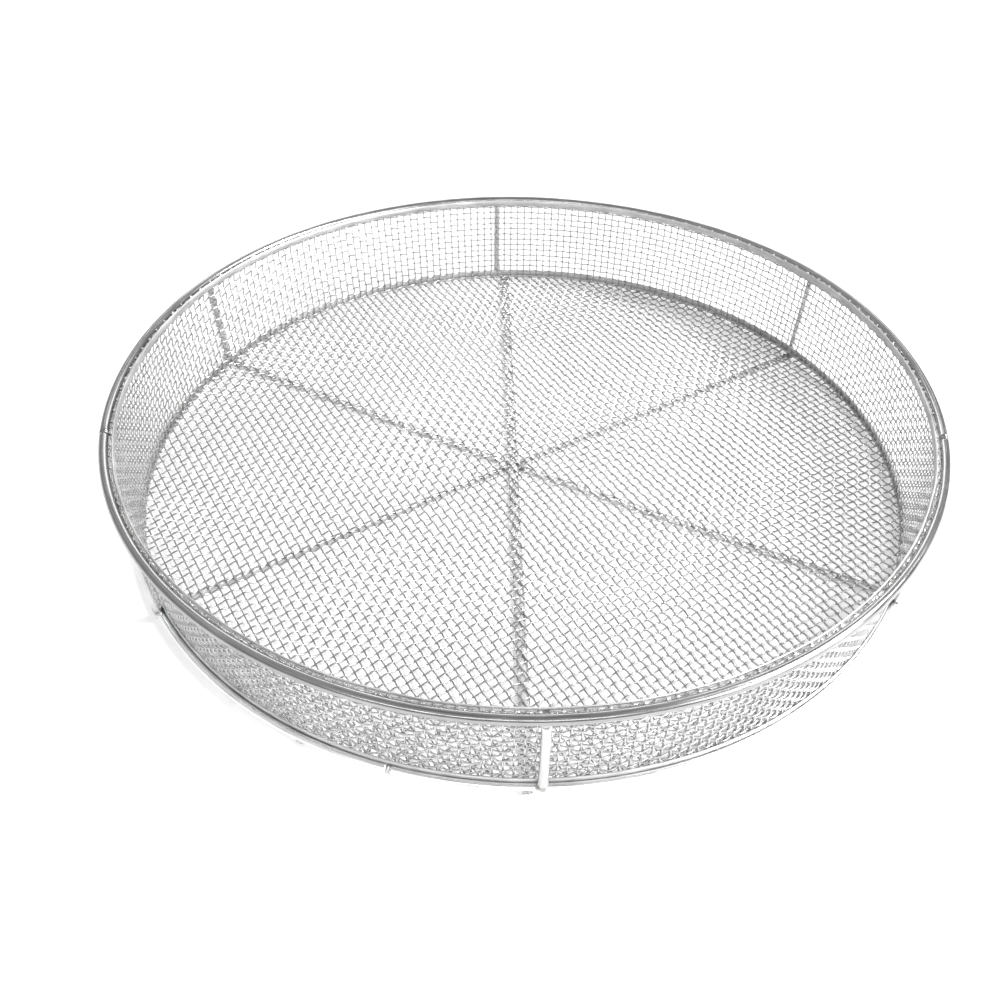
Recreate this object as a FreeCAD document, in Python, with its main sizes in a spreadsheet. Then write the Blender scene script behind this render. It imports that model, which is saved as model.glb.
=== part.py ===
import FreeCAD, Part
import math
import os
import re

import Sketcher

# Round soil sieve: a shallow basket of woven steel wire.
#
# Frame: millimetres, +Z up, origin on the ground under the centre of the rim.
# Azimuths are measured from the front (-Y) towards +X.
#
# From the ground up: flat spokes carry the floor mesh; the base ring lies on the spoke
# ends; the wall mesh stands on the edge of the floor mesh, held by a hem strip inside the
# base ring; six posts rise outside the wall to the rim wire; a second strip clamps the top
# of the wall mesh against the rim wire.

doc = FreeCAD.newDocument("SoilSieve")

# ---------------------------------------------------------------- driving dimensions

DIMENSIONS = [
    ("rim_radius", 197.5, "centre line of the rim wire"),
    ("rim_height", 52.7, "centre line of the rim wire above the ground"),
    ("rim_wire", 4.5, "diameter of the rim wire"),
    ("base_wire", 3.2, "diameter of the base ring"),
    ("rim_strip_width", 3.4, "height of the rim strip"),
    ("hem_strip_width", 5.3, "height of the hem strip"),
    ("strip_gauge", 0.8, "thickness of both strips"),
    ("strip_rise", 1.6, "top edge of the rim strip above the rim wire's centre line"),
    ("mesh_wire", 0.85, "diameter of the woven wire"),
    ("floor_pitch", 4.22, "spacing of the floor wires"),
    ("warp_turn", 31.5, "the warp wires' spacing direction, in degrees from +X"),
    ("weft_turn", 123.8, "the weft wires' spacing direction, a little off square"),
    ("upright_count", 289, "upright wires round the wall"),
    ("upright_first", 1.17, "azimuth of the first upright wire, in degrees"),
    ("hoop_count", 14, "level wires in the wall"),
    ("hoop_pitch", 3.54, "spacing of the level wires"),
    ("hoop_first", 3.66, "height of the lowest level wire"),
    ("end_cover", 0.4, "how far the upright wires' ends lie below the rim strip's top"),
    ("wall_foot", 189.2, "middle of the wall mesh at the floor"),
    ("wall_head", 194.5, "middle of the wall mesh at the rim wire's height"),
    ("spoke_width", 5.5, "width of a spoke"),
    ("spoke_flare", 6.4, "width of a spoke's hammered end"),
    ("flare_length", 4.0, "length over which a spoke widens to its end"),
    ("spoke_gauge", 1.5, "thickness of a spoke"),
    ("spoke_reach", 195.2, "radius that the spoke ends reach"),
    ("hub_x", -4.4, "hub, set a little off centre by hand"),
    ("hub_y", 1.6, "hub, set a little off centre by hand"),
    ("arm_start", 4.9, "where an arm begins, from the hub"),
    ("post_wire", 4.2, "diameter of a post"),
    ("post_foot", 0.9, "how far outside the base ring's centre line a post stands on it"),
    ("post_head", 0.2, "how far inside the rim wire's centre line a post ends under it"),
    ("fit_gap", 0.03, "air left between pieces that touch, so that no solids overlap"),
    ("joint_gap", 1.4, "length of the weld in a butt joint of a wire ring"),
    ("bead_swell", 0.12, "how far a butt weld stands out of its wire"),
    ("collar_edge", 0.15, "thickness of a post's weld collar at its thin end"),
    ("foot_flare", 1.3, "thickness of a foot collar where it meets the base ring"),
    ("foot_collar", 2.6, "height of a foot collar"),
    ("foot_sink", 0.9, "how far a foot collar reaches down past the post's end"),
    ("head_flare", 0.4, "thickness of a head collar where it meets the rim wire"),
    ("head_collar", 2.4, "height of a head collar"),
    ("head_drop", 1.5, "where a head collar begins, below the post's end"),
    ("fillet_radius", 1.2, "radius of the weld where a spoke meets the base ring"),
    ("fillet_length", 4.8, "length of that weld, across the spoke"),
    ("fillet_out", 1.5, "how far outside the base ring's centre line that weld lies"),
    ("fillet_rise", 0.2, "height of that weld's middle above the spoke"),
    ("tack_radius", 1.5, "radius of a tack between base ring and hem strip"),
    ("tack_out", 1.0, "how far outside the base ring's centre line a tack lies"),
    ("tack_rise", 0.25, "height of a tack's middle above the ring's underside"),
    ("hub_bead", 6.6, "radius of the weld that fills the corners of the hub"),
    ("hub_sink", 0.1, "how far the hub weld stays below the spokes' faces"),
]

THROUGH_BAR = 3.0  # azimuth of the spoke that runs right across
ARMS = {"right_front": 64.2, "right_back": 123.6, "left_back": 242.0, "left_front": 304.0}
POSTS = {"front": 3.3, "right_front": 62.0, "right_back": 125.3, "back": 185.6,
         "left_back": 242.8, "left_front": 304.0}
RIM_JOINTS = (80.3, 282.7)  # the rim wire is bent from two lengths
BASE_JOINT = 345.1
TACKS = (40.2, 93.0, 152.0, 214.0, 272.0, 333.4)  # base ring tacked to the hem strip

sheet = doc.addObject("Spreadsheet::Sheet", "Dimensions")
for row, (name, value, meaning) in enumerate(DIMENSIONS, start=1):
    sheet.set(f"A{row}", meaning)
    sheet.set(f"B{row}", str(value))
    sheet.setAlias(f"B{row}", name)
doc.recompute()


def dim(name):
    """The sheet's value of one dimension."""
    return float(getattr(sheet, name))


NAMES = re.compile(r"\b(" + "|".join(name for name, _, _ in DIMENSIONS) + r")\b")


def in_sheet(expression):
    """An expression in which every dimension's name points to the sheet."""
    return NAMES.sub(r"Dimensions.\1", expression)


def value_of(expression):
    """The number that an expression of sheet names gives."""
    result = sheet.evalExpression(expression)
    return float(getattr(result, "Value", result))


# The heights and radii that follow from the driving dimensions.
MESH_PLANE = "(spoke_gauge + mesh_wire)"
SLOPE = f"((wall_head - wall_foot) / (rim_height - {MESH_PLANE}))"
BASE_HEIGHT = "(spoke_gauge + base_wire / 2)"


def wall_at(height):
    """Radius of the middle of the wall mesh at a height."""
    return f"(wall_foot + {SLOPE} * ({height} - {MESH_PLANE}))"


BASE_RADIUS = f"({wall_at(BASE_HEIGHT)} + mesh_wire + strip_gauge + base_wire / 2 + 2 * fit_gap)"
STRIP_TOP = "(rim_height + strip_rise)"
HEM_FOOT = "(spoke_gauge + 3 * fit_gap)"

subparts = []


def keep(feature, label):
    """Names a finished sub-part and puts it on the list to export."""
    feature.Label = label
    subparts.append(feature)
    return feature


# ---------------------------------------------------------------- sketch helpers


def new_sketch(label, plane_role):
    """A body with one sketch on the origin plane of the given role."""
    body = doc.addObject("PartDesign::Body", label + "_body")
    sketch = body.newObject("Sketcher::SketchObject", label + "_sketch")
    plane = next(f for f in body.Origin.OriginFeatures if f.Role == plane_role)
    sketch.AttachmentSupport = [(plane, "")]
    sketch.MapMode = "FlatFace"
    return body, sketch


def pin(sketch, geometry, point, corner, name):
    """Ties one point of the sketch to a pair of sheet expressions, from the origin."""
    for kind, axis, expression in (("DistanceX", "x", corner[0]), ("DistanceY", "y", corner[1])):
        number = value_of(expression)
        index = sketch.addConstraint(
            Sketcher.Constraint(kind, -1, 1, geometry, point, number))
        sketch.renameConstraint(index, f"{name}_{axis}")
        sketch.setExpression(f"Constraints.{name}_{axis}", in_sheet(expression))


def draw_outline(sketch, corners):
    """A closed polygon whose corners are pairs of sheet expressions."""
    points = [FreeCAD.Vector(value_of(x), value_of(y), 0) for x, y in corners]
    count = len(points)
    for i in range(count):
        sketch.addGeometry(Part.LineSegment(points[i], points[(i + 1) % count]), False)
    for i in range(count):
        sketch.addConstraint(Sketcher.Constraint("Coincident", i, 2, (i + 1) % count, 1))
        pin(sketch, i, 1, corners[i], f"corner{i}")


def draw_circle(sketch, centre, diameter):
    """A circle whose centre and diameter are sheet expressions."""
    at = FreeCAD.Vector(value_of(centre[0]), value_of(centre[1]), 0)
    radius = value_of(diameter) / 2
    sketch.addGeometry(Part.Circle(at, FreeCAD.Vector(0, 0, 1), radius), False)
    index = sketch.addConstraint(Sketcher.Constraint("Radius", 0, radius))
    sketch.renameConstraint(index, "radius")
    sketch.setExpression("Constraints.radius", in_sheet(f"({diameter}) / 2"))
    if centre != ("0", "0"):
        pin(sketch, 0, 3, centre, "centre")
    else:
        sketch.addConstraint(Sketcher.Constraint("Coincident", 0, 3, -1, 1))


def turned(azimuth):
    """A placement that swings the front (-Y) round to an azimuth."""
    return FreeCAD.Placement(FreeCAD.Vector(), FreeCAD.Rotation(FreeCAD.Vector(0, 0, 1), azimuth))


def revolve(label, body, sketch, angle, start):
    """Revolves a sketch about Z by an angle, from an azimuth onwards."""
    feature = body.newObject("PartDesign::Revolution", label + "_revolution")
    feature.Profile = sketch
    feature.ReferenceAxis = (sketch, ["V_Axis"])
    if isinstance(angle, str):
        feature.setExpression("Angle", in_sheet(angle))
    else:
        feature.Angle = angle
    body.Tip = feature
    # the sketch lies along +X, which is azimuth 90
    body.Placement = turned(start - 90)
    return keep(body, label)


def wire_arc(label, radius, height, diameter, start, end):
    """A round wire bent to an arc, half a weld short of each azimuth."""
    body, sketch = new_sketch(label, "XZ_Plane")
    draw_circle(sketch, (radius, height), diameter)
    span = (end - start) % 360 or 360
    start_at = start + value_of(f"joint_gap / {radius}") * 90 / math.pi
    return revolve(label, body, sketch, f"{span} - joint_gap / {radius} * 180 / pi", start_at)


def strip_hoop(label, face, foot, top):
    """A flat strip bent to a closed hoop that leans with the wall.

    face is how far the strip's inner side stands from the middle of the wall mesh.
    """
    body, sketch = new_sketch(label, "XZ_Plane")
    inner_foot, inner_top = (f"{wall_at(z)} + {face}" for z in (foot, top))
    draw_outline(sketch, [
        (inner_foot, foot),
        (f"{inner_foot} + strip_gauge", foot),
        (f"{inner_top} + strip_gauge", top),
        (inner_top, top),
    ])
    return revolve(label, body, sketch, 360, 90)


# ---------------------------------------------------------------- rings and strips

rim_front = wire_arc("rim_wire_front", "rim_radius", "rim_height", "rim_wire",
                     RIM_JOINTS[1], RIM_JOINTS[0])
rim_back = wire_arc("rim_wire_back", "rim_radius", "rim_height", "rim_wire",
                    RIM_JOINTS[0], RIM_JOINTS[1])
base_ring = wire_arc("base_ring", BASE_RADIUS, BASE_HEIGHT, "base_wire", BASE_JOINT, BASE_JOINT)
rim_strip = strip_hoop("rim_strip", "(0 - mesh_wire - fit_gap - strip_gauge)",
                       f"({STRIP_TOP} - rim_strip_width)", STRIP_TOP)
hem_strip = strip_hoop("hem_strip", "(mesh_wire + fit_gap)",
                       HEM_FOOT, f"({HEM_FOOT} + hem_strip_width)")

# ---------------------------------------------------------------- spokes


def reach_along(azimuth):
    """Distance from the hub to the spoke ends' circle along an azimuth, as an expression."""
    along = f"(hub_x * sin({azimuth} deg) - hub_y * cos({azimuth} deg))"
    return f"(sqrt(spoke_reach ^ 2 - hub_x ^ 2 - hub_y ^ 2 + {along} ^ 2) - {along})"


def spoke(label, azimuth, near, far, flare_near):
    """A flat bar along an azimuth from the hub, wider at its end.

    far is how far it reaches from the hub; near is where it starts or, where that end is
    flared too, how far it reaches the other way.
    """
    body, sketch = new_sketch(label, "XY_Plane")
    side, wide = "spoke_width / 2", "spoke_flare / 2"
    far_neck = f"flare_length - {far}"
    corners = [(side, far_neck), (wide, f"0 - {far}"),
               (f"0 - {wide}", f"0 - {far}"), (f"0 - {side}", far_neck)]
    if flare_near:
        near_neck = f"{near} - flare_length"
        corners += [(f"0 - {side}", near_neck), (f"0 - {wide}", near),
                    (wide, near), (side, near_neck)]
    else:
        corners += [(f"0 - {side}", f"0 - {near}"), (side, f"0 - {near}")]
    draw_outline(sketch, corners)
    pad = body.newObject("PartDesign::Pad", label + "_pad")
    pad.Profile = sketch
    pad.setExpression("Length", in_sheet("spoke_gauge"))
    body.Tip = pad
    body.Placement = FreeCAD.Placement(
        FreeCAD.Vector(dim("hub_x"), dim("hub_y"), 0), turned(azimuth).Rotation)
    body.setExpression("Placement.Base.x", in_sheet("hub_x"))
    body.setExpression("Placement.Base.y", in_sheet("hub_y"))
    return keep(body, label)


spokes = [spoke("spoke_through_bar", THROUGH_BAR, reach_along(THROUGH_BAR + 180),
                reach_along(THROUGH_BAR), True)]
for side_name, azimuth in ARMS.items():
    spokes.append(spoke(f"spoke_arm_{side_name}", azimuth, "arm_start",
                        reach_along(azimuth), False))

# ---------------------------------------------------------------- posts

# A post stands on the base ring and ends just under the rim wire.
POST_FOOT = "(spoke_gauge + base_wire + 3 * fit_gap)"
POST_HEAD = "(rim_height - rim_wire / 2 - 3 * fit_gap)"
POST_FOOT_RADIUS = f"({BASE_RADIUS} + post_foot)"
POST_RUN = f"(rim_radius - post_head - {POST_FOOT_RADIUS})"
POST_RISE = f"({POST_HEAD} - {POST_FOOT})"
LEAN = math.degrees(math.atan(value_of(f"{POST_RUN} / {POST_RISE}")))


def leaning(azimuth, height):
    """The placement of a post's section at a height: local Z runs up the post."""
    radius = value_of(f"{POST_FOOT_RADIUS} + {POST_RUN} * ({height} - {POST_FOOT}) / {POST_RISE}")
    tilt = FreeCAD.Placement(
        FreeCAD.Vector(0, -radius, value_of(height)),
        FreeCAD.Rotation(FreeCAD.Vector(1, 0, 0), LEAN))
    return turned(azimuth).multiply(tilt)


posts = []
for side_name, azimuth in POSTS.items():
    label = f"post_{side_name}"
    body, sketch = new_sketch(label, "XY_Plane")
    draw_circle(sketch, ("0", "0"), "post_wire")
    pad = body.newObject("PartDesign::Pad", label + "_pad")
    pad.Profile = sketch
    pad.setExpression("Length", in_sheet(f"sqrt({POST_RUN} ^ 2 + {POST_RISE} ^ 2)"))
    body.Tip = pad
    body.Placement = leaning(azimuth, POST_FOOT)
    posts.append(keep(body, label))

# ---------------------------------------------------------------- woven mesh

# Each wire is straight or a plain hoop, and the two directions lie on each other.
wire = dim("mesh_wire")


def feature_of(label, solids):
    """A sub-part that holds many separate wires or beads."""
    feature = doc.addObject("Part::Feature", label + "_solids")
    feature.Shape = Part.makeCompound(solids)
    return keep(feature, label)


def floor_wires(label, spacing_direction, height):
    """Parallel wires across the floor, cut to the round of the wall."""
    end_radius = value_of(f"{wall_at('spoke_gauge')} + mesh_wire - fit_gap")
    pitch = dim("floor_pitch")
    count = int((end_radius - wire / 2) / pitch)
    across = FreeCAD.Vector(math.cos(math.radians(spacing_direction)),
                            math.sin(math.radians(spacing_direction)), 0)
    along = FreeCAD.Vector(-across.y, across.x, 0)
    wires = []
    for i in range(-count, count + 1):
        offset = i * pitch
        half = math.sqrt(end_radius ** 2 - (abs(offset) + wire / 2) ** 2)
        start = across * offset - along * half + FreeCAD.Vector(0, 0, height)
        wires.append(Part.makeCylinder(wire / 2, 2 * half, start, along))
    return feature_of(label, wires)


floor_wires("floor_mesh_warp", dim("warp_turn"), dim("spoke_gauge") + wire / 2)
floor_wires("floor_mesh_weft", dim("weft_turn"), dim("spoke_gauge") + 1.5 * wire)

wall_bottom = value_of(f"{MESH_PLANE} + mesh_wire + 3 * fit_gap")
wall_top = value_of(f"{STRIP_TOP} - end_cover")


def upright_at(height):
    """A point of the upright wires' circle, at the front, at a height."""
    radius = value_of(f"{wall_at(str(height))} - (mesh_wire + fit_gap) / 2")
    return FreeCAD.Vector(0, -radius, height)


uprights = []
for i in range(int(dim("upright_count"))):
    spin = turned(dim("upright_first") + 360 * i / dim("upright_count")).Rotation
    foot, run = upright_at(wall_bottom), upright_at(wall_top) - upright_at(wall_bottom)
    uprights.append(Part.makeCylinder(
        wire / 2, run.Length, spin.multVec(foot), spin.multVec(run)))
feature_of("wall_mesh_uprights", uprights)

hoops = []
for i in range(int(dim("hoop_count"))):
    height = dim("hoop_first") + i * dim("hoop_pitch")
    radius = value_of(f"{wall_at(str(height))} + mesh_wire / 2")
    hoops.append(Part.makeTorus(radius, wire / 2, FreeCAD.Vector(0, 0, height)))
feature_of("wall_mesh_hoops", hoops)

# ---------------------------------------------------------------- welds

doc.recompute()

# the wall and its strips as one plain cone, to keep beads out of the mesh
WALL_OUTSIDE = "mesh_wire + strip_gauge + 1.5 * fit_gap"
CONE_HEIGHT = 60
clear_of_wall = Part.makeCone(value_of(f"{wall_at('0')} + {WALL_OUTSIDE}"),
                              value_of(f"{wall_at(str(CONE_HEIGHT))} + {WALL_OUTSIDE}"),
                              CONE_HEIGHT)


def beads(label, rough, neighbours):
    """Weld beads: rough shapes, cut where the neighbouring pieces are."""
    solids = []
    for shape in rough:
        near = [n for n in neighbours if n.BoundBox.intersect(shape.BoundBox)]
        cut = shape.cut(near) if near else shape
        solids.append(max(cut.Solids, key=lambda s: s.Volume))
    return feature_of(label, solids)


def butt_weld(azimuth, radius, height, diameter):
    """A short swollen length of wire that closes a ring's joint."""
    span = math.degrees(dim("joint_gap") / radius)
    bead = Part.makeTorus(radius, diameter / 2 + dim("bead_swell"), FreeCAD.Vector(),
                          FreeCAD.Vector(0, 0, 1), -180, 180, span)
    bead.Placement = FreeCAD.Placement(FreeCAD.Vector(0, 0, height),
                                       turned(azimuth - 90 - span / 2).Rotation)
    return bead


rim_radius, rim_height = dim("rim_radius"), dim("rim_height")
base_radius, base_height = value_of(BASE_RADIUS), value_of(BASE_HEIGHT)
feature_of("rim_joint_welds", [
    butt_weld(azimuth, rim_radius, rim_height, dim("rim_wire")) for azimuth in RIM_JOINTS])
beads("base_ring_weld", [butt_weld(BASE_JOINT, base_radius, base_height, dim("base_wire"))],
      [clear_of_wall])

rim_shapes = [rim_front.Shape, rim_back.Shape]
post_shapes = [post.Shape for post in posts]
spoke_shapes = [bar.Shape for bar in spokes]

post_radius = dim("post_wire") / 2
thin_end = post_radius + dim("collar_edge")
foot_collars, head_collars = [], []
for azimuth in POSTS.values():
    foot_collar = Part.makeCone(post_radius + dim("foot_flare"), thin_end, dim("foot_collar"))
    foot_collar.Placement = leaning(azimuth, f"({POST_FOOT} - foot_sink)")
    foot_collars.append(foot_collar)
    head_collar = Part.makeCone(thin_end, post_radius + dim("head_flare"), dim("head_collar"))
    head_collar.Placement = leaning(azimuth, f"({POST_HEAD} - head_drop)")
    head_collars.append(head_collar)
beads("post_foot_welds", foot_collars, [base_ring.Shape, clear_of_wall] + post_shapes)
beads("post_head_welds", head_collars, rim_shapes + [clear_of_wall] + post_shapes)

hub = FreeCAD.Vector(dim("hub_x"), dim("hub_y"), 0)
fillet_length = dim("fillet_length")
spoke_fillets = []
for azimuth in [THROUGH_BAR, THROUGH_BAR + 180] + list(ARMS.values()):
    u = FreeCAD.Vector(math.sin(math.radians(azimuth)), -math.cos(math.radians(azimuth)), 0)
    tangent = FreeCAD.Vector(-u.y, u.x, 0)
    # the point where the spoke's centre line crosses under the outer side of the base ring
    at = base_radius + dim("fillet_out")
    along = -hub.dot(u) + math.sqrt(hub.dot(u) ** 2 - hub.Length ** 2 + at ** 2)
    rise = FreeCAD.Vector(0, 0, dim("spoke_gauge") + dim("fillet_rise"))
    start = hub + u * along + rise - tangent * (fillet_length / 2)
    spoke_fillets.append(Part.makeCylinder(
        dim("fillet_radius"), fillet_length, start, tangent))
beads("spoke_end_welds", spoke_fillets, [base_ring.Shape] + spoke_shapes)

tack_at = FreeCAD.Vector(0, -(base_radius + dim("tack_out")), dim("spoke_gauge") + dim("tack_rise"))
tack_beads = []
for azimuth in TACKS:
    centre = turned(azimuth).Rotation.multVec(tack_at)
    tack_beads.append(Part.makeSphere(dim("tack_radius"), centre))
beads("ring_tack_welds", tack_beads, [base_ring.Shape])

hub_sink = dim("hub_sink")
hub_disc = Part.makeCylinder(dim("hub_bead"), dim("spoke_gauge") - 2 * hub_sink,
                             hub + FreeCAD.Vector(0, 0, hub_sink))
feature_of("hub_weld", hub_disc.cut(spoke_shapes).Solids)

# ---------------------------------------------------------------- check and export

doc.recompute()
for item in doc.Objects:
    if "Invalid" in item.State or "Error" in item.State:
        raise RuntimeError(f"{item.Name} failed: {item.State}")
for item in subparts:
    if item.Shape.isNull() or not item.Shape.isValid():
        raise RuntimeError(f"{item.Label} has no valid shape")

os.makedirs("parts", exist_ok=True)
for item in subparts:
    item.Shape.exportStep(f"parts/{item.Label}.step")
    box = item.Shape.BoundBox
    print(f"{item.Label}: {len(item.Shape.Solids)} solids, {item.Shape.Volume:.0f} mm3, "
          f"z {box.ZMin:.2f} to {box.ZMax:.2f}")
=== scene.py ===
"""Looks of the soil sieve: woven wire, rims, strips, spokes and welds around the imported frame.

Everything is in metres in the CAD's frame: +Z up, the ground at z = 0, the front towards -Y.
Azimuths are measured from the front towards +X, as in the CAD source.
"""

import math

import bpy
import numpy as np
from mathutils import Matrix, Vector


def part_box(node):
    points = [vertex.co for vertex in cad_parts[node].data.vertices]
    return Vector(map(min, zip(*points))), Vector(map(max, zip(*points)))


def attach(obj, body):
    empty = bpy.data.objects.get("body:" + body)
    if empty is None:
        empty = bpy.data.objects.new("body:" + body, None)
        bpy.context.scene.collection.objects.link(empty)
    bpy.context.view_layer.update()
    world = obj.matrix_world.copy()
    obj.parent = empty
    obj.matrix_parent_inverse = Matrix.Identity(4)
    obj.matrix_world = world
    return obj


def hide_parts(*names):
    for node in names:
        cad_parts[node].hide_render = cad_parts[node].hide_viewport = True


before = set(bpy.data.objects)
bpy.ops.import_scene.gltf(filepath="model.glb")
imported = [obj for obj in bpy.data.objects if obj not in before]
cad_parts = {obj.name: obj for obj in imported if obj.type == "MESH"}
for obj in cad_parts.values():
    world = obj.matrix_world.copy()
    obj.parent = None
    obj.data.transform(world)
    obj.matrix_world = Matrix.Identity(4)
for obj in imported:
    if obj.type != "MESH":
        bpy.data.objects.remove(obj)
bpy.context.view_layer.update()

MM = 0.001

# ------------------------------------------------------------------ sizes from the frame


rim_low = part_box("rim_wire_back")[0].z
rim_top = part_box("rim_wire_back")[1].z
RIM_WIRE = rim_top - rim_low
RIM_HEIGHT = (rim_top + rim_low) / 2
RIM_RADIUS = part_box("rim_wire_back")[1].y - RIM_WIRE / 2

base_low, base_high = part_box("base_ring")
BASE_WIRE = base_high.z - base_low.z
BASE_HEIGHT = (base_high.z + base_low.z) / 2
BASE_RADIUS = base_high.y - BASE_WIRE / 2

floor_low, floor_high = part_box("floor_mesh_warp")
MESH_WIRE = floor_high.z - floor_low.z
MESH_PLANE = floor_high.z
FLOOR_PITCH = 4.22 * MM
WARP_TURN = math.radians(31.5)
WEFT_TURN = math.radians(123.8)
FLOOR_RADIUS = (floor_high.y - floor_low.y) / 2

hoop_low, hoop_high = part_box("wall_mesh_hoops")
upright_low, upright_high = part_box("wall_mesh_uprights")
HOOPS = 14
UPRIGHTS = 289
UPRIGHT_FIRST = math.radians(1.17)
HOOP_FIRST = hoop_low.z + MESH_WIRE / 2
HOOP_PITCH = (hoop_high.z - hoop_low.z - MESH_WIRE) / (HOOPS - 1)
WALL_TOP = upright_high.z
WALL_BOTTOM = upright_low.z

STRIP_GAUGE = 0.8 * MM
GAP = 0.03 * MM

# The wall leans outwards: its middle surface is a cone through the topmost hoop.
WALL_HEAD = hoop_high.y - MESH_WIRE
WALL_SPREAD = 194.5 - 189.2  # how far it leans out, from the floor to the rim wire's centre
WALL_RISE = 52.7 - 2.35
WALL_SLOPE = WALL_SPREAD / WALL_RISE

SPOKE_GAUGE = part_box("spoke_through_bar")[1].z
SPOKE_WIDTH = 5.5 * MM
SPOKE_REACH = 195.2 * MM
ARM_START = 4.9 * MM
POST_RADIUS = 2.1 * MM
POST_FOOT = 0.9 * MM  # a post stands this far outside the base ring's centre line
POST_HEAD = 0.2 * MM  # and ends this far inside the rim wire's
HUB = Vector((-4.4 * MM, 1.6 * MM, 0))

# Azimuths in degrees.
THROUGH_BAR = 3.0
ARMS = {"right_front": 64.2, "right_back": 123.6, "left_back": 242.0, "left_front": 304.0}
POSTS = {"front": 3.3, "right_front": 62.0, "right_back": 125.3, "back": 185.6,
         "left_back": 242.8, "left_front": 304.0}
RIM_JOINTS = (80.3, 282.7)
BASE_JOINT = 345.1
TACKS = (40.2, 93.0, 152.0, 214.0, 272.0, 333.4)
JOINT = 0.2  # what a ring's butt weld takes of it on each side

# Where the hand-bent rim is out of true: azimuth, spread in degrees, and how far.
RIM_HIGH = (238, 30, 1.2 * MM)
RIM_LOW = (163, 26, 0.9 * MM)


def wall_at(height):
    """Radius of the middle of the wall mesh at a height."""
    top_hoop = HOOP_FIRST + (HOOPS - 1) * HOOP_PITCH
    return WALL_HEAD - WALL_SLOPE * (top_hoop - height)


def around(azimuth, radius, height=0.0):
    """A point at an azimuth in degrees, a radius and a height."""
    a = math.radians(azimuth)
    return Vector((radius * math.sin(a), -radius * math.cos(a), height))


def lift(azimuth, height):
    """How far the hand-bent wall stands above true at an azimuth in degrees and a height.

    The rim rides a little high at the back left and low at the back right; the foot is true.
    """
    high, low = (most * np.exp(-((np.asarray(azimuth) % 360 - centre) / spread) ** 2)
                 for centre, spread, most in (RIM_HIGH, RIM_LOW))
    return (high - low) * np.clip(height / RIM_HEIGHT, 0, 1)


def reach_along(azimuth, radius):
    """Distance from the hub, along an azimuth, to a circle round the Z axis."""
    out = around(azimuth, 1)
    along = HUB.dot(out)
    return math.sqrt(radius ** 2 - HUB.length_squared + along ** 2) - along


def frame_at(azimuth):
    """Outward, sideways and upward directions at an azimuth."""
    a = math.radians(azimuth)
    return around(azimuth, 1), Vector((math.cos(a), math.sin(a), 0)), Vector((0, 0, 1))


# ------------------------------------------------------------------ mesh helpers


class MeshParts:
    """Vertices, faces and grain coordinates of many small bodies, joined in one mesh."""

    def __init__(self):
        self.points, self.grain, self.quads, self.caps = [], [], [], []
        self.count = 0

    def add(self, points, grain, quads, caps=()):
        self.points.append(points)
        self.grain.append(grain)
        self.quads.append(quads + self.count)
        self.caps += [[i + self.count for i in cap] for cap in caps]
        self.count += len(points)

    def build(self, name):
        points = np.concatenate(self.points).astype(np.float32)
        quads = np.concatenate(self.quads).astype(np.int32)
        cap_sizes = [len(cap) for cap in self.caps]
        cap_corners = [i for cap in self.caps for i in cap]
        corners = np.concatenate([quads.ravel(), np.array(cap_corners, np.int32)])
        sizes = np.concatenate([np.full(len(quads), 4), np.array(cap_sizes, int)]).astype(np.int32)
        starts = np.concatenate([[0], np.cumsum(sizes)[:-1]]).astype(np.int32)
        mesh = bpy.data.meshes.new(name)
        mesh.vertices.add(len(points))
        mesh.vertices.foreach_set("co", points.ravel())
        mesh.loops.add(len(corners))
        mesh.loops.foreach_set("vertex_index", corners)
        mesh.polygons.add(len(sizes))
        mesh.polygons.foreach_set("loop_start", starts)
        mesh.polygons.foreach_set("use_smooth", sizes == 4)
        attribute = mesh.attributes.new("grain", "FLOAT_VECTOR", "POINT")
        attribute.data.foreach_set("vector", np.concatenate(self.grain).astype(np.float32).ravel())
        mesh.update(calc_edges=True)
        mesh.validate()
        piece = bpy.data.objects.new(name, mesh)
        bpy.context.scene.collection.objects.link(piece)
        return piece


def unit(vectors):
    return vectors / np.linalg.norm(vectors, axis=-1, keepdims=True)


def grid_quads(rings, sides, closed):
    """Quads between successive rings of vertices; closed joins the last ring to the first."""
    spans = rings if closed else rings - 1
    i = np.arange(spans)[:, None]
    k = np.arange(sides)[None, :]
    here, there = i * sides, ((i + 1) % rings) * sides
    k_next = (k + 1) % sides
    return np.stack([here + k, here + k_next, there + k_next, there + k], axis=-1).reshape(-1, 4)


GRAIN_APART = 7  # sets each wire's streaks apart from its neighbours'


def tube(parts, path, side, radius, sides=6, closed=False):
    """A round wire along a path. side is a direction roughly square to the path."""
    path = np.asarray(path, float)
    if closed:
        along = np.roll(path, -1, 0) - np.roll(path, 1, 0)
    else:
        along = np.gradient(path, axis=0)
    along = unit(along)
    side = np.broadcast_to(np.asarray(side, float), path.shape)
    across = unit(side - (side * along).sum(1, keepdims=True) * along)
    other = np.cross(along, across)
    turn = np.arange(sides) * 2 * math.pi / sides
    radius = np.broadcast_to(np.asarray(radius, float), (len(path),))[:, None, None]
    ring = (np.cos(turn)[None, :, None] * across[:, None, :]
            + np.sin(turn)[None, :, None] * other[:, None, :])
    points = (path[:, None, :] + radius * ring).reshape(-1, 3)
    step = np.linalg.norm(np.diff(path, axis=0, prepend=path[:1]), axis=1)
    length = np.cumsum(step)
    grain = np.empty((len(path), sides, 3))
    grain[:, :, 0] = length[:, None] + path[0].sum() * GRAIN_APART
    grain[:, :, 1] = radius[:, :, 0] * np.cos(turn)
    grain[:, :, 2] = radius[:, :, 0] * np.sin(turn)
    rings = len(path)
    caps = [] if closed else [list(range(sides))[::-1],
                              list(range((rings - 1) * sides, rings * sides))]
    parts.add(points, grain.reshape(-1, 3), grid_quads(rings, sides, closed), caps)


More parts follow.
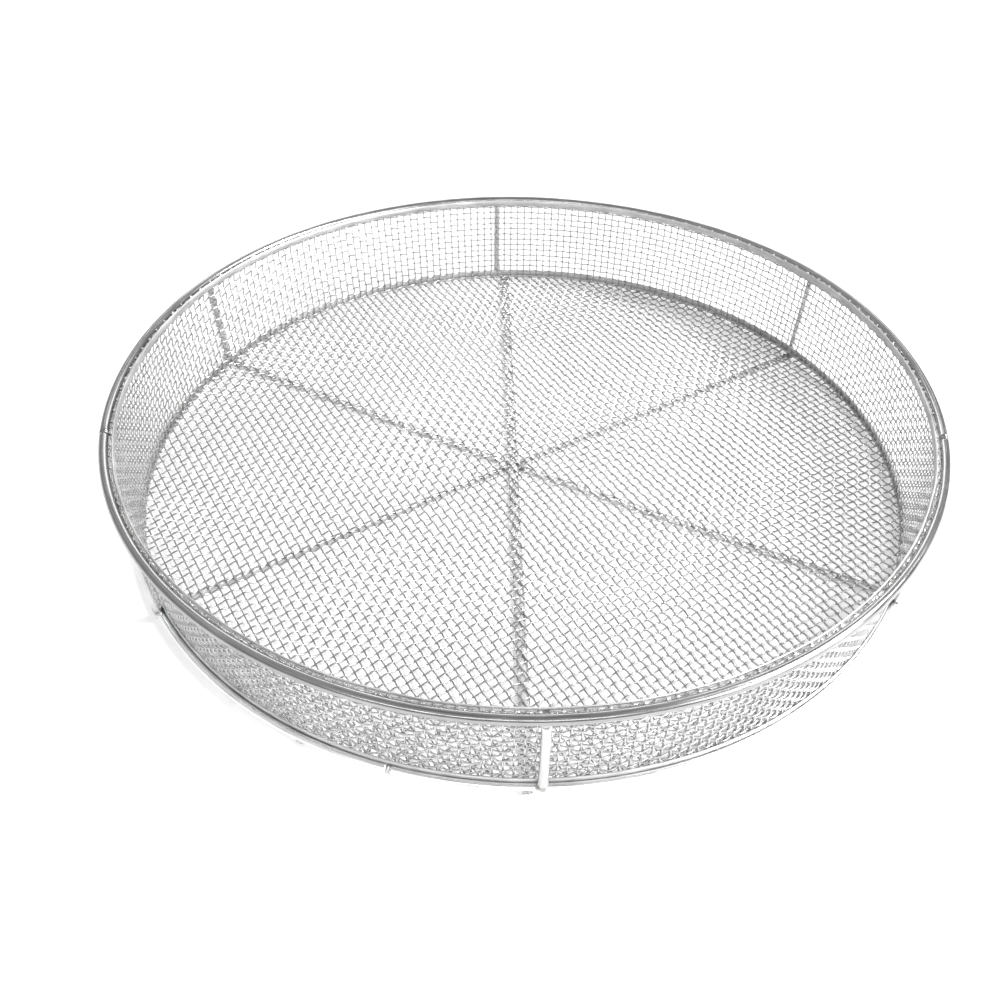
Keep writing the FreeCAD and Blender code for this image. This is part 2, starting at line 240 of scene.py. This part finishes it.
def finish(piece, material, slot, *nodes):
    """Gives a piece its material and body, and hides the CAD nodes that it stands for; slot is not
    used.
    """
    piece.data.materials.append(material)
    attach(piece, "root")
    if nodes:
        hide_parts(*nodes)


def wander(seed, waves, size):
    """A smooth wavering of an angle in degrees, as bent and welded wire has."""
    rng = np.random.default_rng(seed)
    phase = rng.uniform(0, 2 * math.pi, len(waves))
    share = rng.uniform(0.5, 1.0, len(waves))

    def at(azimuth):
        a = np.radians(azimuth)
        total = sum(s * np.sin(w * a + p) for w, s, p in zip(waves, share, phase))
        return size * total / len(waves)

    return at


# ------------------------------------------------------------------ woven mesh

STEPS_PER_PITCH = 4
HALF_WIRE = MESH_WIRE / 2
WEAVE_DEPTH = HALF_WIRE * 1.06
CREST_POWER = 0.8  # below 1, the crests are flatter than a cosine's
WIRE_DRIFT = 0.12 * MM


def weave_wave(steps, parity):
    """Height of a wire over the weave's middle: over, under, over, with flattened crests."""
    wave = np.cos(np.pi * steps + np.pi * parity)
    return WEAVE_DEPTH * np.sign(wave) * np.abs(wave) ** CREST_POWER


def floor_half(name, turn, parity, first):
    """The wires that run one way, in the first or the second half of the floor."""
    parts = MeshParts()
    across = np.array([math.cos(turn), math.sin(turn), 0])
    along = np.array([-across[1], across[0], 0])
    count = int((FLOOR_RADIUS - HALF_WIRE) / FLOOR_PITCH)
    rng = np.random.default_rng(11 + parity + 2 * first)
    rows = range(-count, 0) if first else range(0, count + 1)
    for row in rows:
        offset = row * FLOOR_PITCH
        half = math.sqrt(FLOOR_RADIUS ** 2 - (abs(offset) + HALF_WIRE) ** 2)
        last = int(half / FLOOR_PITCH * STEPS_PER_PITCH)
        steps = np.arange(-last, last + 1) / STEPS_PER_PITCH
        steps = np.concatenate([[-half / FLOOR_PITCH], steps, [half / FLOOR_PITCH]])
        s = steps * FLOOR_PITCH
        drift = WIRE_DRIFT * np.sin(s * 31 + rng.uniform(0, 6.3)) * rng.uniform(0.2, 1)
        path = (along * s[:, None] + across * (offset + drift)[:, None])
        path[:, 2] = MESH_PLANE + weave_wave(steps, row + parity)
        tube(parts, path, across, HALF_WIRE)
    return parts.build(name)


def wall_uprights():
    """The upright wires, each over and under the level ones."""
    parts = MeshParts()
    heights = np.arange(-1, HOOPS * STEPS_PER_PITCH + 1) / STEPS_PER_PITCH
    z = HOOP_FIRST + heights * HOOP_PITCH
    inside = (z > WALL_BOTTOM + 0.1 * MM) & (z < WALL_TOP - 0.1 * MM)
    heights = np.concatenate([[(WALL_BOTTOM - HOOP_FIRST) / HOOP_PITCH], heights[inside],
                              [(WALL_TOP - HOOP_FIRST) / HOOP_PITCH]])
    z = HOOP_FIRST + heights * HOOP_PITCH
    for i in range(UPRIGHTS):
        azimuth = UPRIGHT_FIRST + i * 2 * math.pi / UPRIGHTS
        out = np.array([math.sin(azimuth), -math.cos(azimuth), 0])
        tangent = np.array([math.cos(azimuth), math.sin(azimuth), 0])
        radius = wall_at(z) + weave_wave(heights, i)
        path = out * radius[:, None]
        path[:, 2] = z + lift(math.degrees(azimuth), z)
        tube(parts, path, tangent, HALF_WIRE)
    return parts.build("wall_mesh_uprights_woven")


def wall_hoops():
    """The level wires, each in and out between the uprights."""
    parts = MeshParts()
    steps = np.arange(UPRIGHTS * STEPS_PER_PITCH) / STEPS_PER_PITCH
    azimuth = UPRIGHT_FIRST + steps * 2 * math.pi / UPRIGHTS
    for i in range(HOOPS):
        wobble = wander(50 + i, (3, 5, 8), 0.25 * MM)(np.degrees(azimuth))
        z = HOOP_FIRST + i * HOOP_PITCH + wobble
        radius = wall_at(z) - weave_wave(steps, i)
        z = z + lift(np.degrees(azimuth), z)
        path = np.stack([radius * np.sin(azimuth), -radius * np.cos(azimuth), z], 1)
        tube(parts, path, (0, 0, 1), HALF_WIRE, closed=True)
    return parts.build("wall_mesh_hoops_woven")


# ------------------------------------------------------------------ rings and strips


def ring_arc(name, radius, height, wire, start, end, seed):
    """A bent round wire between two azimuths, a little uneven."""
    parts = MeshParts()
    steps = int((end - start) * 2.5)
    azimuth = np.linspace(start, end, steps)
    a = np.radians(azimuth)
    r = radius + wander(seed, (3, 4, 7, 11), 0.25 * MM)(azimuth)
    z = height + wander(seed + 1, (2, 5, 9), 0.12 * MM)(azimuth)
    if height > RIM_HEIGHT / 2:
        z = z + lift(azimuth, height)
    path = np.stack([r * np.sin(a), -r * np.cos(a), z], 1)
    tube(parts, path, (0, 0, 1), wire / 2, sides=28)
    return parts.build(name)


STRIP_STEPS = 1440


def strip(name, node_box, face, seed, wave):
    """A flat band bent round the wall, with softened edges and a slight waver.

    face is how far its middle stands outside the wall mesh's.
    """
    parts = MeshParts()
    low, high = node_box[0].z, node_box[1].z
    foot_face, head_face = wall_at(low) + face, wall_at(high) + face
    edge = STRIP_GAUGE * 0.3
    inner, outer = -STRIP_GAUGE / 2, STRIP_GAUGE / 2
    profile = [(inner, low + edge), (inner, high - edge), (inner + edge, high),
               (outer - edge, high), (outer, high - edge), (outer, low + edge),
               (outer - edge, low), (inner + edge, low)]
    azimuth = np.arange(STRIP_STEPS) * 360 / STRIP_STEPS
    a = np.radians(azimuth)
    waver = wander(seed, (11, 17, 23, 31, 6), wave)(azimuth)
    points, grain = [], []
    for offset, z in profile:
        share = (z - low) / (high - low)
        r = foot_face + (head_face - foot_face) * share + offset + waver
        height = z + wander(seed + 3, (4, 7, 13), 0.12 * MM)(azimuth) + lift(azimuth, z)
        points.append(np.stack([r * np.sin(a), -r * np.cos(a), height], 1))
        grain.append(np.stack([a * r, np.full_like(a, z), np.full_like(a, offset)], 1))
    sides = len(profile)
    points = np.stack(points, 1).reshape(-1, 3)
    grain = np.stack(grain, 1).reshape(-1, 3)
    parts.add(points, grain, grid_quads(STRIP_STEPS, sides, True)[:, ::-1])
    return parts.build(name)


# ------------------------------------------------------------------ spokes and posts


FLARE = 0.45 * MM  # how far each side of a spoke's hammered end widens
FLARE_LENGTH = 4 * MM


def flat_bar(name, azimuth, near, far, seed):
    """A flat bar from near to far along an azimuth from the hub, with rounded edges."""
    parts = MeshParts()
    out = np.array(around(azimuth, 1))
    side = np.array([-out[1], out[0], 0])
    steps = int(abs(far - near) / (3 * MM))
    s = np.linspace(near, far, steps)
    flare = FLARE * np.clip((s - (far - FLARE_LENGTH)) / FLARE_LENGTH, 0, 1) ** 1.5
    if near < 0:
        flare = flare + FLARE * np.clip((near + FLARE_LENGTH - s) / FLARE_LENGTH, 0, 1) ** 1.5
    half = SPOKE_WIDTH / 2 + flare
    edge = 0.35 * MM
    top, low = SPOKE_GAUGE, 0.0
    rng = np.random.default_rng(seed)
    bow = 0.2 * MM * np.sin(s * 17 + rng.uniform(0, 6))
    profile = [(-1, 1, top - edge), (-1, 0, top), (1, 0, top), (1, 1, top - edge),
               (1, 1, low + edge), (1, 0, low), (-1, 0, low), (-1, 1, low + edge)]
    points, grain = [], []
    for sign, outer, z in profile:
        y = sign * (half - (0 if outer else edge)) + bow
        p = out * s[:, None] + side * y[:, None] + np.array(HUB)
        p[:, 2] = z
        points.append(p)
        grain_side = sign * SPOKE_WIDTH / 2 * (1 if outer else 0.9)
        grain.append(np.stack([s + seed, np.full_like(s, grain_side), np.full_like(s, z)], 1))
    sides = len(profile)
    points = np.stack(points, 1).reshape(-1, 3)
    grain = np.stack(grain, 1).reshape(-1, 3)
    last = (steps - 1) * sides
    parts.add(points, grain, grid_quads(steps, sides, False),
              [list(range(sides))[::-1], list(range(last, last + sides))])
    return parts.build(name)


def post(name, azimuth, seed):
    """One post outside the wall, from the base ring to the rim wire."""
    parts = MeshParts()
    low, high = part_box(f"post_{name}")
    foot = np.array(around(azimuth, BASE_RADIUS + POST_FOOT, low.z + 0.1 * MM))
    head = np.array(around(azimuth, RIM_RADIUS - POST_HEAD, high.z - 0.1 * MM))
    head[2] += lift(azimuth, high.z)
    t = np.linspace(0, 1, 14)[:, None]
    path = foot + (head - foot) * t
    a = math.radians(azimuth)
    tangent = np.array([math.cos(a), math.sin(a), 0])
    rng = np.random.default_rng(seed)
    path = path + tangent * (0.12 * MM * np.sin(t * math.pi * rng.uniform(1, 2)))
    tube(parts, path, tangent, POST_RADIUS, sides=24)
    return parts.build(f"post_{name}_wire")


# ------------------------------------------------------------------ weld metal


def bead(parts, centre, axes, seed, roughness=0.16, rings=14, sides=20):
    """A lump of weld metal: an ellipsoid on three half-axes, made uneven."""
    v = (np.arange(rings) + 0.5) / rings * math.pi
    u = np.arange(sides) * 2 * math.pi / sides
    n = np.stack([np.sin(v)[:, None] * np.cos(u)[None], np.sin(v)[:, None] * np.sin(u)[None],
                  np.broadcast_to(np.cos(v)[:, None], (rings, sides))], -1)
    rng = np.random.default_rng(seed)
    lump = np.zeros((rings, sides))
    for _ in range(7):
        k = rng.normal(size=3) * 2.6
        lump += np.sin(n @ k + rng.uniform(0, 6.3))
    n = n * (1 + roughness * lump[..., None] / 4)
    axes = np.array([list(axis) for axis in axes])
    points = (np.array(centre) + n.reshape(-1, 3) @ axes)
    grain = n.reshape(-1, 3) * 0.002 + seed * 0.01
    caps = [list(range(sides)), list(range((rings - 1) * sides, rings * sides))[::-1]]
    quads = grid_quads(rings, sides, False)
    if np.linalg.det(axes) <= 0:  # left-handed axes would turn the faces inwards
        quads, caps = quads[:, ::-1], [cap[::-1] for cap in caps]
    parts.add(points, grain, quads, caps)


# ------------------------------------------------------------------ materials


def add(tree, kind, **inputs):
    """A new node of a kind, with constants on its sockets."""
    node = tree.nodes.new(kind)
    for name, value in inputs.items():
        node.inputs[name.replace("_", " ")].default_value = value
    return node


def steel(name, tone, roughness, streak=(40, 4000, 4000), streak_depth=0.1, blotch=0.1,
          bump=0.02, rough_spread=0.1):
    """Bare steel with streaks along its grain, cloudy patches and a fine bump."""
    material = bpy.data.materials.new(name)
    material.use_nodes = True
    tree = material.node_tree
    shader = tree.nodes["Principled BSDF"]
    shader.inputs["Metallic"].default_value = 1.0
    link = tree.links.new

    grain = tree.nodes.new("ShaderNodeAttribute")
    grain.attribute_name = "grain"
    place = tree.nodes.new("ShaderNodeTexCoord")
    scaled = add(tree, "ShaderNodeMapping", Scale=streak)
    link(grain.outputs["Vector"], scaled.inputs["Vector"])
    lines = add(tree, "ShaderNodeTexNoise", Scale=1.0, Detail=3.0, Roughness=0.6)
    link(scaled.outputs["Vector"], lines.inputs["Vector"])
    clouds = add(tree, "ShaderNodeTexNoise", Scale=70.0, Detail=4.0, Roughness=0.55)
    link(place.outputs["Object"], clouds.inputs["Vector"])

    lines_tone = add(tree, "ShaderNodeMapRange", From_Min=0.3, From_Max=0.7,
                     To_Min=1 - streak_depth, To_Max=1 + streak_depth)
    link(lines.outputs["Fac"], lines_tone.inputs["Value"])
    clouds_tone = add(tree, "ShaderNodeMapRange", From_Min=0.3, From_Max=0.7,
                      To_Min=1 - blotch, To_Max=1 + blotch)
    link(clouds.outputs["Fac"], clouds_tone.inputs["Value"])
    both = tree.nodes.new("ShaderNodeMath")
    both.operation = "MULTIPLY"
    link(lines_tone.outputs["Result"], both.inputs[0])
    link(clouds_tone.outputs["Result"], both.inputs[1])
    colour = tree.nodes.new("ShaderNodeVectorMath")
    colour.operation = "SCALE"
    colour.inputs[0].default_value = tone
    link(both.outputs["Value"], colour.inputs["Scale"])
    link(colour.outputs["Vector"], shader.inputs["Base Color"])

    rough = add(tree, "ShaderNodeMapRange", From_Min=0.3, From_Max=0.7,
                To_Min=roughness - rough_spread, To_Max=roughness + rough_spread)
    link(lines.outputs["Fac"], rough.inputs["Value"])
    link(rough.outputs["Result"], shader.inputs["Roughness"])

    relief = add(tree, "ShaderNodeBump", Strength=0.6, Distance=bump * MM)
    link(lines.outputs["Fac"], relief.inputs["Height"])
    link(relief.outputs["Normal"], shader.inputs["Normal"])
    return material


def grey(value):
    return (value, value, value)


floor_steel = steel("floor_mesh_steel", grey(0.43), 0.2, streak=(150, 3000, 3000))
wall_steel = steel("wall_mesh_steel", grey(0.54), 0.22, streak=(150, 3000, 3000))
ring_steel = steel("rim_wire_steel", grey(0.36), 0.2, streak=(60, 2500, 2500),
                   streak_depth=0.16, bump=0.03)
# Painted highlight: the base ring's near-white tone stands in for the white paper and lamps that
# the ring mirrors, so the whole wire reads white.
base_steel_painted_highlight = steel("base_ring_steel_painted_highlight", grey(0.97), 0.3, streak=(60, 2500, 2500), bump=0.03)
strip_steel = steel("rim_strip_steel", grey(0.62), 0.5, streak=(90, 3500, 3500),
                    streak_depth=0.22, blotch=0.16, bump=0.05)
hem_steel = steel("hem_strip_steel", grey(0.62), 0.45, streak=(90, 3500, 3500),
                  streak_depth=0.22, blotch=0.16, bump=0.05)
# Painted light: the spokes' near-white tone makes up for the shade that the floor mesh above casts
# on them.
spoke_steel_painted_light = steel("spoke_steel_painted_light", grey(0.93), 0.3, streak=(120, 1800, 1800),
                    streak_depth=0.1, blotch=0.1, bump=0.05)
post_steel = steel("post_steel", grey(0.68), 0.26, streak=(60, 2500, 2500), bump=0.03)
weld_steel = steel("weld_metal", (0.66, 0.655, 0.64), 0.30, streak=(900, 900, 900),
                   streak_depth=0.15, blotch=0.2, bump=0.12)

# ------------------------------------------------------------------ the object

for half, first in (("a", True), ("b", False)):
    finish(floor_half(f"floor_mesh_warp_{half}", WARP_TURN, 0, first),
           floor_steel, "mesh", "floor_mesh_warp")
    finish(floor_half(f"floor_mesh_weft_{half}", WEFT_TURN, 1, first),
           floor_steel, "mesh", "floor_mesh_weft")
finish(wall_uprights(), wall_steel, "mesh", "wall_mesh_uprights")
finish(wall_hoops(), wall_steel, "mesh", "wall_mesh_hoops")

finish(ring_arc("rim_wire_front_bent", RIM_RADIUS, RIM_HEIGHT, RIM_WIRE,
                RIM_JOINTS[1] + JOINT, RIM_JOINTS[0] + 360 - JOINT, 3),
       ring_steel, "rim_wire", "rim_wire_front")
finish(ring_arc("rim_wire_back_bent", RIM_RADIUS, RIM_HEIGHT, RIM_WIRE,
                RIM_JOINTS[0] + JOINT, RIM_JOINTS[1] - JOINT, 3),
       ring_steel, "rim_wire", "rim_wire_back")
finish(ring_arc("base_ring_bent", BASE_RADIUS, BASE_HEIGHT, BASE_WIRE,
                BASE_JOINT + JOINT, BASE_JOINT + 360 - JOINT, 7),
       base_steel_painted_highlight, "ring_wire", "base_ring")

RIM_FACE = -MESH_WIRE - GAP - STRIP_GAUGE / 2
HEM_FACE = MESH_WIRE + GAP + STRIP_GAUGE / 2
finish(strip("rim_strip_band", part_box("rim_strip"), RIM_FACE, 21, 0.30 * MM),
       strip_steel, "strip", "rim_strip")
finish(strip("hem_strip_band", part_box("hem_strip"), HEM_FACE, 25, 0.15 * MM),
       hem_steel, "strip", "hem_strip")


finish(flat_bar("spoke_through_bar_flat", THROUGH_BAR,
                -reach_along(THROUGH_BAR + 180, SPOKE_REACH),
                reach_along(THROUGH_BAR, SPOKE_REACH), 1),
       spoke_steel_painted_light, "spoke", "spoke_through_bar")
for number, (side_name, azimuth) in enumerate(ARMS.items(), start=2):
    finish(flat_bar(f"spoke_arm_{side_name}_flat", azimuth, ARM_START,
                    reach_along(azimuth, SPOKE_REACH), number),
           spoke_steel_painted_light, "spoke", f"spoke_arm_{side_name}")

for number, (side_name, azimuth) in enumerate(POSTS.items()):
    finish(post(side_name, azimuth, 60 + number), post_steel, "post", f"post_{side_name}")

# ------------------------------------------------------------------ welds

joints = MeshParts()
for number, azimuth in enumerate(RIM_JOINTS):
    out, side, up = frame_at(azimuth)
    swell = RIM_WIRE / 2 + 0.05 * MM
    bead(joints, around(azimuth, RIM_RADIUS, RIM_HEIGHT + lift(azimuth, RIM_HEIGHT)),
         (out * swell, side * 1.3 * MM, up * swell), 100 + number, 0.04)
finish(joints.build("rim_joint_weld_metal"), ring_steel, "weld", "rim_joint_welds")

ring_joint = MeshParts()
out, side, up = frame_at(BASE_JOINT)
swell = BASE_WIRE / 2 + 0.1 * MM
bead(ring_joint, around(BASE_JOINT, BASE_RADIUS, BASE_HEIGHT),
     (out * swell, side * 1.5 * MM, up * swell), 110, 0.05)
finish(ring_joint.build("base_ring_weld_metal"), weld_steel, "weld", "base_ring_weld")

feet, heads = MeshParts(), MeshParts()
for number, azimuth in enumerate(POSTS.values()):
    out, side, up = frame_at(azimuth)
    bead(feet, around(azimuth, BASE_RADIUS + POST_FOOT, BASE_HEIGHT + BASE_WIRE * 0.5),
         (out * 2.0 * MM, side * 3.0 * MM, up * 1.1 * MM), 120 + number, 0.1)
    head_height = RIM_HEIGHT - RIM_WIRE / 2 + 0.2 * MM
    bead(heads, around(azimuth, RIM_RADIUS - POST_HEAD, head_height + lift(azimuth, head_height)),
         (out * 1.9 * MM, side * 2.7 * MM, up * 1.1 * MM), 130 + number, 0.1)
finish(feet.build("post_foot_weld_metal"), weld_steel, "weld", "post_foot_welds")
finish(heads.build("post_head_weld_metal"), weld_steel, "weld", "post_head_welds")

ends = MeshParts()
for number, azimuth in enumerate([THROUGH_BAR, THROUGH_BAR + 180] + list(ARMS.values())):
    out, side, up = frame_at(azimuth)
    place = HUB + out * reach_along(azimuth, BASE_RADIUS + 1.5 * MM)
    place.z = SPOKE_GAUGE + 0.1 * MM
    bead(ends, place, (out * 1.0 * MM, side * 2.5 * MM, up * 0.8 * MM), 140 + number)
finish(ends.build("spoke_end_weld_metal"), weld_steel, "weld", "spoke_end_welds")

tacks = MeshParts()
for number, azimuth in enumerate(TACKS):
    out, side, up = frame_at(azimuth)
    bead(tacks, around(azimuth, BASE_RADIUS + 0.7 * MM, BASE_HEIGHT - 1.2 * MM),
         (out * 1.4 * MM, side * 1.7 * MM, up * 1.5 * MM), 150 + number)
finish(tacks.build("ring_tack_weld_metal"), weld_steel, "weld", "ring_tack_welds")

hub = MeshParts()
bead(hub, HUB + Vector((0, 0, SPOKE_GAUGE / 2)),
     (Vector((6.4 * MM, 0, 0)), Vector((0, 5.8 * MM, 0)), Vector((0, 0, SPOKE_GAUGE * 0.47))),
     160, 0.08)
finish(hub.build("hub_weld_metal"), weld_steel, "weld", "hub_weld")

# A thin seam of weld closes the gap between the rim strip and the rim wire, and the ends of the
# upright wires lie on it, melted into small dashes. Every third end is hidden in the seam.
spots = MeshParts()
rng = np.random.default_rng(5)
SEAM_DEPTH = 1.5 * MM  # below the uprights' ends
SEAM_STEPS = 1080
seam_azimuth = np.arange(SEAM_STEPS) * 360 / SEAM_STEPS
seam_height = WALL_TOP - SEAM_DEPTH + wander(71, (23, 41, 67), 0.2 * MM)(seam_azimuth)
seam_radius = wall_at(WALL_TOP - SEAM_DEPTH) + 0.42 * MM
seam_turn = np.radians(seam_azimuth)
tube(spots, np.stack([seam_radius * np.sin(seam_turn), -seam_radius * np.cos(seam_turn),
                      seam_height + lift(seam_azimuth, seam_height)], 1),
     (0, 0, 1), 0.3 * MM, closed=True)
for number in range(UPRIGHTS):
    if number % 3 == 2:
        continue
    azimuth = math.degrees(UPRIGHT_FIRST) + number * 360 / UPRIGHTS
    out, side, up = frame_at(azimuth)
    height = WALL_TOP - rng.uniform(0.3, 0.8) * MM
    bead(spots, around(azimuth, wall_at(WALL_TOP) + 0.05 * MM, height + lift(azimuth, height)),
         (out * 0.42 * MM, side * rng.uniform(1.0, 2.3) * MM, up * 0.28 * MM), 200 + number, 0.1,
         rings=7, sides=10)
finish(spots.build("rim_spot_welds"), weld_steel, "weld")

# ------------------------------------------------------------------ studio

floor_mesh = bpy.data.meshes.new("studio_floor")
HALF_FLOOR = 6.0
corners = [(x * HALF_FLOOR, y * HALF_FLOOR, 0) for x, y in ((-1, -1), (1, -1), (1, 1), (-1, 1))]
floor_mesh.from_pydata(corners, [], [(0, 1, 2, 3)])
floor = bpy.data.objects.new("studio_floor", floor_mesh)
bpy.context.scene.collection.objects.link(floor)
paper = bpy.data.materials.new("studio_paper")
paper.use_nodes = True
# The paper lies on a light table, so it stays white under the mesh.
for socket, value in (("Base Color", (0.93, 0.93, 0.93, 1)), ("Roughness", 0.9),
                      ("Emission Color", (1, 1, 1, 1)), ("Emission Strength", 0.22)):
    paper.node_tree.nodes["Principled BSDF"].inputs[socket].default_value = value
floor.data.materials.append(paper)


def area_light(name, place, size, watts):
    """A rectangular white light that faces the sieve."""
    data = bpy.data.lights.new(name, "AREA")
    data.shape = "RECTANGLE"
    data.size, data.size_y = size
    data.energy = watts
    light = bpy.data.objects.new(name, data)
    light.location = place
    light.rotation_euler = (-Vector(place)).to_track_quat("-Z", "Y").to_euler()
    bpy.context.scene.collection.objects.link(light)


# Windows on the right light the paper past white; a low pale band stands behind the sieve and
# another behind the camera, and the steel mirrors these and the greyer rest of the room.
area_light("key_right", (1.30, 0.15, 1.45), (0.6, 0.6), 38)
area_light("window_front_right", (1.55, -0.85, 0.95), (1.3, 1.2), 24)
area_light("band_front", (-0.2, -2.2, 1.6), (2.8, 0.4), 16)
area_light("low_back", (0.0, 2.3, 1.25), (2.4, 0.7), 15)

world = bpy.data.worlds.new("studio")
bpy.context.scene.world = world
world.use_nodes = True
tree = world.node_tree
background = tree.nodes["Background"]
coords = tree.nodes.new("ShaderNodeTexCoord")
split = tree.nodes.new("ShaderNodeSeparateXYZ")
ramp = tree.nodes.new("ShaderNodeValToRGB")
ramp.color_ramp.elements[0].position = 0.0
ramp.color_ramp.elements[0].color = (0.55, 0.55, 0.55, 1)
ramp.color_ramp.elements[1].position = 1.0
ramp.color_ramp.elements[1].color = (0.4, 0.4, 0.4, 1)
for position, value in ((0.15, 0.5), (0.5, 0.55), (0.78, 0.78)):
    element = ramp.color_ramp.elements.new(position)
    element.color = (value, value, value, 1)
tree.links.new(coords.outputs["Generated"], split.inputs["Vector"])
tree.links.new(split.outputs["Z"], ramp.inputs["Fac"])
tree.links.new(ramp.outputs["Color"], background.inputs["Color"])
background.inputs["Strength"].default_value = 1.0

bpy.context.scene.view_settings.view_transform = "Standard"

# ------------------------------------------------------------------ camera

camera_data = bpy.data.cameras.new("camera")
camera_data.sensor_width = 36.0
camera_data.lens = 39.38
camera = bpy.data.objects.new("camera", camera_data)
bpy.context.scene.collection.objects.link(camera)
CAMERA_PLACE = Vector((0, -432.65, 369.57)) * MM
CAMERA_AIM = Vector((-10.33, -25.83, 2.2)) * MM
CAMERA_ROLL = math.radians(0.41)
look = (CAMERA_AIM - CAMERA_PLACE).normalized()
level = look.to_track_quat("-Z", "Y").to_matrix().to_4x4()
camera.matrix_world = (Matrix.Translation(CAMERA_PLACE) @ level
                       @ Matrix.Rotation(CAMERA_ROLL, 4, "Z"))
camera_data.clip_start = 0.01  # metres
bpy.context.scene.camera = camera
